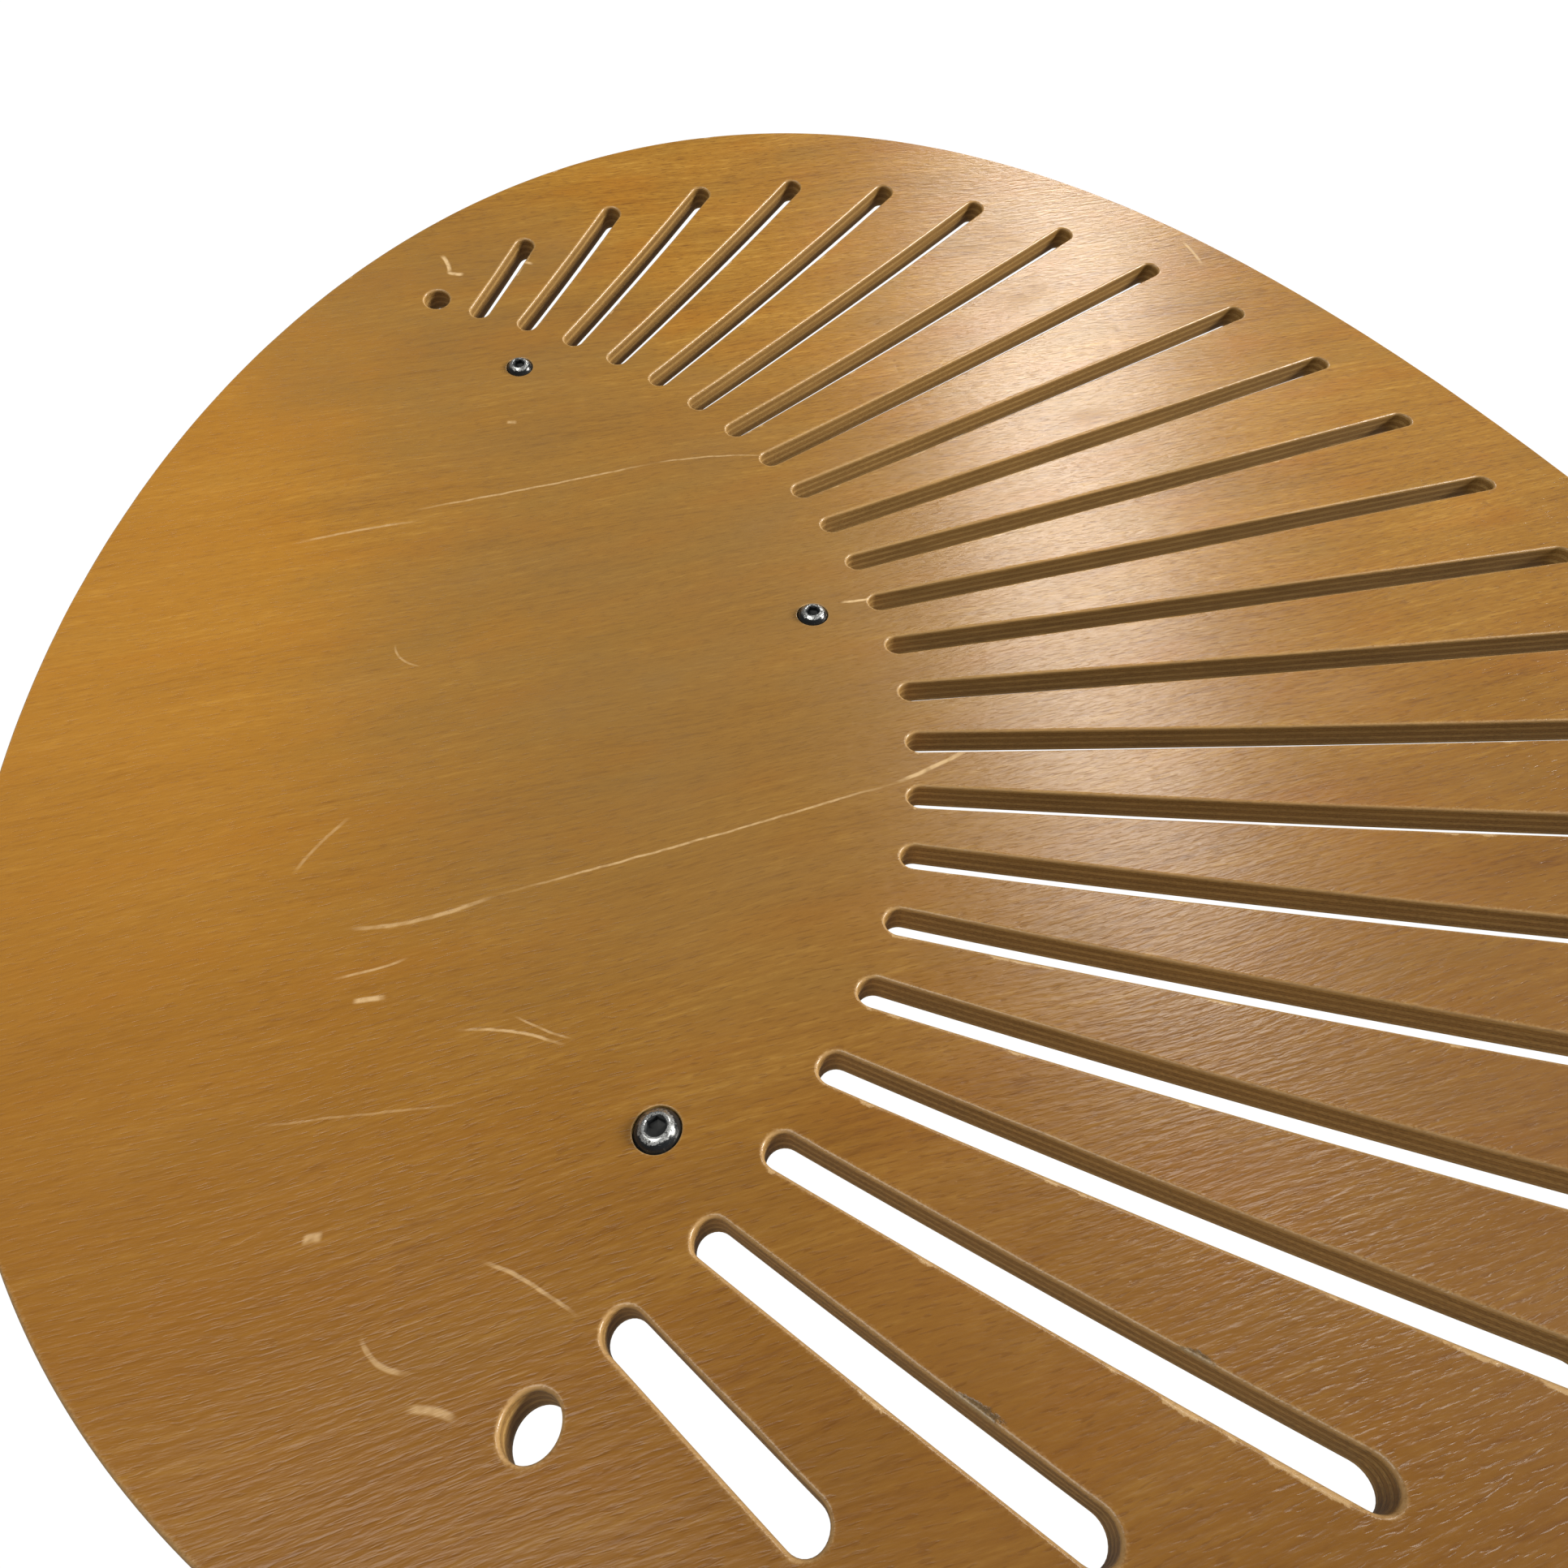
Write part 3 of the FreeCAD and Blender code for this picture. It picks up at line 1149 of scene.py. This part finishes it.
SCRATCHES = (
    Scratch((27, -71), (2, -77), 0.6, 0.75, 0.75),
    Scratch((3, -77), (-112, -84), 0.6, 0.42, 0.6),
    Scratch((-112, -84), (-150, -83.5), 2.4, 0.7, 0.5),
    Scratch((6, 86), (-39, 92), -1.6, 0.4, 0.5),
    Scratch((-37, 92), (-130, 88), 0.5, 0.5, 0.55),
    Scratch((-127, 82), (-171, 81), -0.8, 0.6, 0.5),
    Scratch((11, 2.8), (23, 2), 0.0, 0.6, 0.95),
    Scratch((-104, 228), (-102, 217), 1.0, 1.0, 0.9),
    Scratch((-103, 218), (-96, 215.5), -0.5, 0.9, 0.9),
    Scratch((-73, 219), (-66, 216.5), 0.3, 0.8, 0.7),
    Scratch((235, 177), (237, 160), 0.8, 0.9, 0.7),
    Scratch((-152, -98), (-134, -97), -0.6, 0.45, 0.5),
    Scratch((-147, -106), (-139, -107), 0.0, 0.8, 0.7),
    Scratch((-122, -121), (-98, -132), 1.4, 0.4, 0.55),
    Scratch((-109, -121), (-96, -131), -0.6, 0.3, 0.4),
    Scratch((-117, -174), (-100, -189), 0.8, 0.4, 0.45),
    Scratch((-139, -181), (-129, -190), -1.5, 0.5, 0.4),
    Scratch((-130, -195), (-121, -199), 0.4, 0.7, 0.45),
    Scratch((-165, -61), (-151, -45), 0.8, 0.6, 0.35),
    Scratch((-138, 23), (-130, 11), -2.2, 0.4, 0.4),
    Scratch((-152, -160), (-148, -160.5), 0.0, 1.0, 0.6),
    Scratch((-90, 127.5), (-86, 126.5), 0.2, 0.9, 0.5),
    Scratch((-166, -132), (-120, -140), 0.0, 0.3, 0.25),
)


@dataclass(frozen=True)
class Knot:
    """A dark knot or bruise, in millimetres on the blank."""

    centre: tuple[float, float]
    reach: tuple[float, float]
    angle: float = 0.0
    fray: float = 1.6
    edge: tuple[float, float] = (0.4, 1.0)

    def mask(self, spot: Spot, ragged: Term) -> Term:
        """Where the knot is, from 0 to 1.

        Args:
            spot: Where the finish is read.
            ragged: Noise about 0 that frays the knot's edge.

        Returns:
            The mask.
        """
        c, s = math.cos(math.radians(self.angle)), math.sin(math.radians(self.angle))
        ahead, aside = spot.away(self.centre)
        a = (ahead * c + aside * s) / self.reach[0]
        b = (aside * c - ahead * s) / self.reach[1]
        return 1.0 - (a * a + b * b + ragged * self.fray).rise(*self.edge)


KNOTS = (
    Knot((-37.5, -221), (5.5, 1.6), -42.0),
    Knot((1, -224.5), (3.4, 1.4), -38.0),
    Knot((68, 170), (2.6, 1.0), 60.0),
    Knot((85, 183), (0.35, 5.0), 12.0),
)


@dataclass(frozen=True)
class DrabPatch:
    """A wide soft patch of darker, drabber colour, in millimetres on the blank."""

    centre: tuple[float, float]
    square_reach: float
    squash: float
    least: float
    clouding: float = 0.6

    def mask(self, spot: Spot, cloud: Term) -> Term:
        """How strongly the patch turns the colour drab.

        Args:
            spot: Where the finish is read.
            cloud: Soft patches.

        Returns:
            The mask.
        """
        ahead, aside = spot.away(self.centre)
        away = ahead * ahead + aside * aside * self.squash
        return (1.0 - away.rise(0.0, self.square_reach)) * (self.least + cloud * self.clouding)


DRAB_PATCHES = (
    DrabPatch((-45.0, 10.0), 21000.0, 0.6, 0.3),
    DrabPatch((-105.0, 185.0), 11000.0, 1.0, 0.2),
)


def strongest(masks: list[Term]) -> Term:
    """The largest of several masks."""
    return functools.reduce(Term.larger, masks)


@dataclass(frozen=True)
class EdgeGrain:
    """Cut edges of the veneers, dark and lacquered, with a glue line at each joint."""

    end_wood: Colour = (0.350, 0.190, 0.050, 1.0)
    side_wood: Colour = (0.470, 0.280, 0.088, 1.0)
    glue: Colour = (0.110, 0.055, 0.014, 1.0)
    dark_share: tuple[float, float, float] = (0.62, 0.58, 0.50)
    fibre: tuple[float, float] = (14.0, 0.5)

    def colour(self, spot: Spot, grain: Grain, ply: float) -> Term:
        """The edge's colour.

        Args:
            spot: Where the finish is read.
            grain: Which way the veneer's grain runs.
            ply: The veneer's thickness, in millimetres.

        Returns:
            The colour.
        """
        is_along = grain is Grain.ALONG
        cell = self.fibre if is_along else self.fibre[::-1]
        base = self.side_wood if is_along else self.end_wood
        dark: Colour = (*(b * share for b, share in zip(base, self.dark_share)), 1.0)
        fibres = spot.noise(*cell, spot.depth / 0.3, 3.0, 0.6)
        patches = spot.noise(30.0, 30.0, spot.depth / 2.0)
        step = spot.tree.math("FRACT", spot.depth / ply + 10.0)
        joint = abs(step - 0.5).rise(0.40, 0.48)
        light = (fibres * 0.7 + patches * 0.3).rise(0.34, 0.62)
        return spot.tree.coats(dark, (light, base), (joint * 0.5, self.glue))


@dataclass(frozen=True)
class VeneerFinish:
    """Amber-lacquered face veneer: grain, pores, worn edges, scratches, knots, and painted light,
    shade and edge highlight.
    """

    name: str
    has_wear_and_painted_light: bool
    blank: BentBlank
    edge: EdgeGrain = EdgeGrain()
    deep: Colour = (0.170, 0.066, 0.009, 1.0)
    amber: Colour = (0.335, 0.156, 0.018, 1.0)
    pale: Colour = (0.530, 0.290, 0.052, 1.0)
    orange: Colour = (0.365, 0.140, 0.009, 1.0)
    olive: Colour = (0.275, 0.150, 0.026, 1.0)
    # Painted light: a brighter, warmer tone for the back of the face, where more lamp light falls.
    painted_light_warm: Colour = (0.430, 0.185, 0.018, 1.0)
    # Painted shade: a darker tone for the right side of the face, where less light falls.
    shaded: Colour = (0.125, 0.045, 0.004, 1.0)
    drab: Colour = (0.215, 0.120, 0.035, 1.0)
    # Bare wood of scratches and chips, also used for the painted highlight on rounded edges.
    bare: Colour = (0.640, 0.440, 0.220, 1.0)
    bruise: Colour = (0.060, 0.042, 0.020, 1.0)

    def wood(self, spot: Spot) -> tuple[Term, Term]:
        """The lacquered face.

        Args:
            spot: Where the finish is read.

        Returns:
            Its colour, and the height of its relief in metres.
        """
        depth = spot.depth
        swing = spot.noise(130.0, 80.0, depth / 20.0, 1.0) * 12.0
        waved = replace(spot, v=spot.v + swing)
        figure = waved.noise(170.0, 22.0, depth)
        streaks = waved.noise(45.0, 2.2, depth, 4.0, 0.65)
        fibres = waved.noise(7.0, 0.85, depth / 3.0, 3.0, 0.65)
        flecks = waved.noise(4.5, 0.62, depth, 1.0).rise(0.57, 0.70)
        glow = waved.noise(48.0, 17.0, 5.0 + depth / 9.0)
        tooth = waved.noise(6.5, 1.1, depth, 2.0, 0.55)
        tone = (figure - 0.5) * 0.5 + (streaks - 0.5) * 0.75 + (fibres - 0.5) * 0.8 + 0.5
        colour = spot.tree.coats(
            self.deep,
            (tone.rise(0.12, 0.52), self.amber),
            (tone.rise(0.48, 0.95), self.pale),
            (glow.rise(0.50, 0.72) * 0.40, self.orange),
            ((1.0 - glow.rise(0.28, 0.48)) * 0.35, self.olive),
            (flecks * 0.5, self.deep),
        )
        return colour, tooth * 0.00015 + fibres * 0.00005 - flecks * 0.00003

    def worn(
        self, spot: Spot, colour: Term, relief: Term, cloud: Term
    ) -> tuple[Term, Term, Term]:
        """Adds what years of use left on the face, and painted light and shade: a brighter back
        and a darker right side.

        Args:
            spot: Where the finish is read.
            colour: The clean wood's colour.
            relief: The clean wood's relief.
            cloud: Soft patches.

        Returns:
            The colour, the relief, and how scratched the lacquer is.
        """
        tree = spot.tree
        # Painted light: the back of the face is mixed towards a brighter warm tone, as where more
        # lamp light falls.
        painted_light_towards_back = 1.0 - (spot.u + (cloud - 0.5) * 90.0).rise(-210.0, -70.0)
        # Painted shade: the right side of the face, towards -Y, is mixed towards a darker tone.
        painted_shade_towards_right = 1.0 - (spot.v + (cloud - 0.5) * 60.0).rise(-290.0, 70.0)
        wobble = (spot.noise(9.0, 9.0, 1.0) - 0.5) * 1.1
        broken = spot.noise(3.0, 3.0, 7.0).rise(0.28, 0.6)
        lines = strongest([mark.mask(spot, wobble) for mark in SCRATCHES]) * (0.5 + broken * 0.6)
        ragged = spot.noise(1.2, 1.2, 0.0, 3.0) - 0.5
        dark = strongest([knot.mask(spot, ragged) for knot in KNOTS])
        colour = tree.coats(
            colour,
            (painted_light_towards_back * 0.5, self.painted_light_warm),
            (painted_shade_towards_right * 0.72, self.shaded),
            *((drab_patch.mask(spot, cloud), self.drab) for drab_patch in DRAB_PATCHES),
            (lines, self.bare),
            (dark * 0.8, self.bruise),
        )
        return colour, relief - lines * 0.00006 - dark * 0.0001, lines

    def build(self) -> bpy.types.Material:
        """Makes the material.

        Returns:
            The material. Wear near a cut, and the painted highlight on the rounded edges, follow
            the mesh's "edge" and "chip" values.
        """
        tree = FinishTree(self.name)
        spot = Spot.on(tree, self.blank)
        colour, relief = self.wood(spot)
        cloud = spot.noise(42.0, 30.0, 3.0)
        dust = spot.noise(0.8, 0.6, spot.depth, 2.0, 0.7)
        scuffed = cloud.rise(0.62, 0.8) * 0.3
        if self.has_wear_and_painted_light:
            colour, relief, lines = self.worn(spot, colour, relief, cloud)
            scuffed = lines + scuffed
        near, chip = tree.attribute("edge"), tree.attribute("chip")
        # Rounded edges mixed towards bare wood: partly rubbed lacquer, partly a painted highlight
        # on every rounded edge.
        rubbed = (near + (dust - 0.5) * 0.4).rise(0.42, 0.75) * 0.4
        crumbs = spot.noise(0.9, 0.9, spot.depth / 0.5, 3.0, 0.7)
        broken = (chip * near + (crumbs - 0.5) * 0.8).rise(0.22, 0.42)
        broken = broken * chip.rise(0.02, 0.12) * 0.5
        wall = near.rise(0.86, 0.985)
        edge = self.edge.colour(spot, Grain.ALONG, self.blank.ply_thickness / MM)
        colour = tree.coats(colour, (rubbed.larger(broken), self.bare), (wall, edge))
        varied = (cloud - 0.5) * 0.10 + scuffed * 0.22 + wall * 0.14 + (dust - 0.5) * 0.06
        tree.surface(
            {"Base Color": colour, "Roughness": varied + 0.31},
            {"IOR": 1.46, "Coat Weight": 0.12, "Coat Roughness": 0.22},
            relief + dust * 0.000006,
        )
        return tree.material


@dataclass(frozen=True)
class EdgeFinish:
    """Finish of a core veneer, of which only the cut edges show."""

    name: str
    grain: Grain
    blank: BentBlank
    edge: EdgeGrain = EdgeGrain()

    def build(self) -> bpy.types.Material:
        """Makes the material.

        Returns:
            The material.
        """
        tree = FinishTree(self.name)
        spot = Spot.on(tree, self.blank)
        colour = self.edge.colour(spot, self.grain, self.blank.ply_thickness / MM)
        dust = spot.noise(0.7, 0.7, spot.depth / 0.4, 2.0, 0.7)
        tree.surface(
            {"Base Color": colour, "Roughness": 0.5 + (dust - 0.5) * 0.2},
            {"IOR": 1.45},
            dust * 0.00002,
        )
        return tree.material


@dataclass(frozen=True)
class WornBlackSteel:
    """Black screw finish, rubbed to bright steel in a ragged ring on the dome."""

    name: str = "worn_black_steel"
    black: Colour = (0.010, 0.012, 0.014, 1.0)
    steel: Colour = (0.56, 0.58, 0.59, 1.0)
    ring: tuple[float, float] = (2.5, 3.75)
    socket_edge: tuple[float, float] = (2.33, 2.43)

    def build(self) -> bpy.types.Material:
        """Makes the material.

        Returns:
            The material.
        """
        tree = FinishTree(self.name)
        x, y, z = tree.place()
        radius = tree.math("SQRT", x * x + y * y)
        ragged, fine = tree.grit(0.7, 4.0, 0.65), tree.grit(0.16, 3.0, 0.7)
        fray = (ragged - 0.5) * 1.5
        inner, outer = self.ring
        band = (radius + fray).rise(inner - 0.15, inner + 0.05)
        band = band * (1.0 - (radius + fray * 1.2).rise(outer - 0.1, outer + 0.25))
        holes = 1.0 - ((ragged * 0.6 + fine * 0.4) - 0.5).rise(0.015, 0.07) * 0.95
        specks = (fine + ragged).rise(1.22, 1.3) * 0.5 * z.rise(-1.2, -0.6)
        outside = radius.rise(*self.socket_edge)
        bare = (band * holes * z.rise(0.7, 1.1)).larger(specks) * outside
        tree.surface(
            {
                "Base Color": tree.mix(bare, self.black, self.steel),
                "Metallic": bare,
                "Roughness": 0.62 + (fine - 0.5) * 0.2 - outside * 0.42 + bare * 0.10,
            },
            {"IOR": 1.5},
            ragged * 0.00002 + fine * 0.00001 - bare * 0.00002,
        )
        return tree.material


@dataclass(frozen=True)
class DarkNylon:
    """Moulded nylon of the spacers."""

    name: str = "dark_nylon"
    body: Colour = (0.030, 0.030, 0.031, 1.0)
    bloom: Colour = (0.055, 0.055, 0.056, 1.0)

    def build(self) -> bpy.types.Material:
        """Makes the material.

        Returns:
            The material.
        """
        tree = FinishTree(self.name)
        cloud, skin = tree.grit(3.0, 3.0), tree.grit(0.25, 2.0)
        tree.surface(
            {
                "Base Color": tree.mix(cloud.rise(0.35, 0.7), self.body, self.bloom),
                "Roughness": 0.46 + (skin - 0.5) * 0.2,
            },
            {"IOR": 1.53},
            skin * 0.00001,
        )
        return tree.material


# ---- assemblies ---------------------------------------------------------------------------------


@dataclass
class Panel:
    """The seven glued veneers."""

    blank: BentBlank = BentBlank()
    fan: SlotFan = SlotFan()

    def veneers(self) -> list[Veneer]:
        """Every veneer, from the upper face down.

        Returns:
            The veneers.
        """
        last = self.blank.ply_count - 1
        sides = [Side.TOP] + [Side.CORE] * (last - 1) + [Side.BOTTOM]
        names = {Side.TOP: "top_face_veneer", Side.BOTTOM: "bottom_face_veneer"}
        found = []
        for number, side in enumerate(sides):
            name = names.get(side, f"core_veneer_{number}")
            grain = Grain.ACROSS if number % 2 else Grain.ALONG
            found.append(Veneer(name, number, side, grain, self.blank, self.fan))
        return found

    def build(self) -> None:
        """Makes and dresses the veneers."""
        top = VeneerFinish("worn_and_painted_light_amber_veneer", True, self.blank).build()
        under = VeneerFinish("clean_amber_veneer", False, self.blank).build()
        along = EdgeFinish("edge_along_grain", Grain.ALONG, self.blank).build()
        across = EdgeFinish("edge_across_grain", Grain.ACROSS, self.blank).build()
        looks = {
            (Side.TOP, Grain.ALONG): (top, "face_veneer"),
            (Side.BOTTOM, Grain.ALONG): (under, "face_veneer"),
            (Side.CORE, Grain.ALONG): (along, "long_veneer"),
            (Side.CORE, Grain.ACROSS): (across, "cross_veneer"),
        }
        for veneer in self.veneers():
            veneer.build(*looks[veneer.side, veneer.grain])


@dataclass
class Fixings:
    """The three screws and their spacers."""

    blank: BentBlank = BentBlank()
    fan: SlotFan = SlotFan()
    screw: ButtonScrew = ButtonScrew()
    spacer: Spacer = Spacer()
    twists: tuple[float, float, float] = (10.0, 33.0, -14.0)

    def build(self) -> None:
        """Makes and dresses the fixings."""
        steel, nylon = WornBlackSteel().build(), DarkNylon().build()
        places = self.fan.screw_places()
        for (name, (u, v)), twist in zip(places.items(), self.twists):
            standing = self.blank.standing(u, v)
            turned = standing @ Matrix.Rotation(math.radians(twist), 4, "Z")
            self.screw.build(name + "_screw", steel, turned)
            self.spacer.build(name + "_spacer", nylon, standing, self.blank)


# ---- studio -------------------------------------------------------------------------------------


@dataclass(frozen=True)
class Lamp:
    """One soft light."""

    name: str
    place: tuple[float, float, float]
    aim: tuple[float, float, float]
    size: tuple[float, float]
    watts: float
    colour: tuple[float, float, float]

    def build(self) -> None:
        """Hangs the lamp."""
        lamp = bpy.data.lights.new(self.name, "AREA")
        lamp.shape, lamp.size, lamp.size_y = "ELLIPSE", *self.size
        lamp.energy, lamp.color = self.watts, self.colour
        made = bpy.data.objects.new(self.name, lamp)
        made.location = self.place
        towards = Vector(self.aim) - Vector(self.place)
        made.rotation_euler = towards.to_track_quat("-Z", "Y").to_euler()
        bpy.context.scene.collection.objects.link(made)


LAMPS = (
    Lamp("window", (1.50, 1.82, 1.85), (0.08, 0, 0), (0.70, 0.42), 22.0, (1, 0.96, 0.88)),
    Lamp("room", (-0.60, -0.10, 1.4), (-0.05, 0.05, 0), (1.2, 1.0), 13.5, (1, 0.97, 0.90)),
    Lamp("doorway", (3.65, -0.55, 1.65), (0, 0.05, 0), (1.6, 1.1), 225.0, (1, 0.97, 0.91)),
)


@dataclass
class Studio:
    """Pale floor, soft lights and the camera."""

    floor_height: float = -0.75
    floor_reach: float = 3.5
    floor_glow: float = 1.05
    cove_radius: float = 1.2
    cove_steps: int = 12
    wall_height: float = 4.0
    ambient: Colour = (1.0, 0.98, 0.94, 1.0)
    ambient_strength: float = 0.16
    camera_place: tuple[float, float, float] = (-0.06629, -0.20905, 0.22047)
    camera_turn: tuple[float, float, float] = (35.4996, 0.2806, -15.3031)
    focal_length: float = 19.8785
    sensor_width: float = 36.0

    def floor(self) -> None:
        """Lays a round floor that sweeps up into a pale wall, lit evenly of its own."""
        low, reach, cove = self.floor_height, self.floor_reach, self.cove_radius
        rings: list[Ring] = [(0.01, low), (1.0, low), (reach - cove, low)]
        for step in range(1, self.cove_steps + 1):
            a = math.pi / 2 * step / self.cove_steps
            rings.append((reach - cove + cove * math.sin(a), low + cove * (1 - math.cos(a))))
        rings += [(reach, self.wall_height), (0.01, self.wall_height)]
        mesh = lathed("pale_floor", rings, 96, False, 80.0)
        floor = bpy.data.objects.new("pale_floor", mesh)
        bpy.context.scene.collection.objects.link(floor)
        tree = FinishTree("pale_floor")
        white = {"Color": (1, 1, 1, 1), "Strength": self.floor_glow}
        tree.close(tree.node("ShaderNodeEmission", None, white))
        mesh.materials.append(tree.material)
        floor.visible_diffuse = floor.visible_glossy = floor.visible_transmission = False
        floor.visible_shadow = False

    def camera(self) -> None:
        """Sets up the camera."""
        lens = bpy.data.cameras.new("camera")
        lens.lens, lens.sensor_width = self.focal_length, self.sensor_width
        lens.sensor_fit = "HORIZONTAL"
        lens.clip_start, lens.clip_end = 0.01, 20.0
        camera = bpy.data.objects.new("camera", lens)
        camera.location = self.camera_place
        camera.rotation_euler = Euler([math.radians(a) for a in self.camera_turn])
        bpy.context.scene.collection.objects.link(camera)
        bpy.context.scene.camera = camera

    def build(self) -> None:
        """Sets up the studio."""
        scene = bpy.context.scene
        scene.view_settings.view_transform = "Standard"
        scene.view_settings.look = "None"
        world = bpy.data.worlds.new("studio")
        world.use_nodes = True
        background = world.node_tree.nodes["Background"]
        background.inputs["Color"].default_value = self.ambient
        background.inputs["Strength"].default_value = self.ambient_strength
        scene.world = world
        self.floor()
        for lamp in LAMPS:
            lamp.build()
        self.camera()


def main() -> None:
    """Builds the panel, its fixings and the studio."""
    logging.basicConfig(level=logging.INFO, format="%(name)s %(message)s")
    Panel().build()
    Fixings().build()
    Studio().build()


if __name__ == "__main__":
    main()
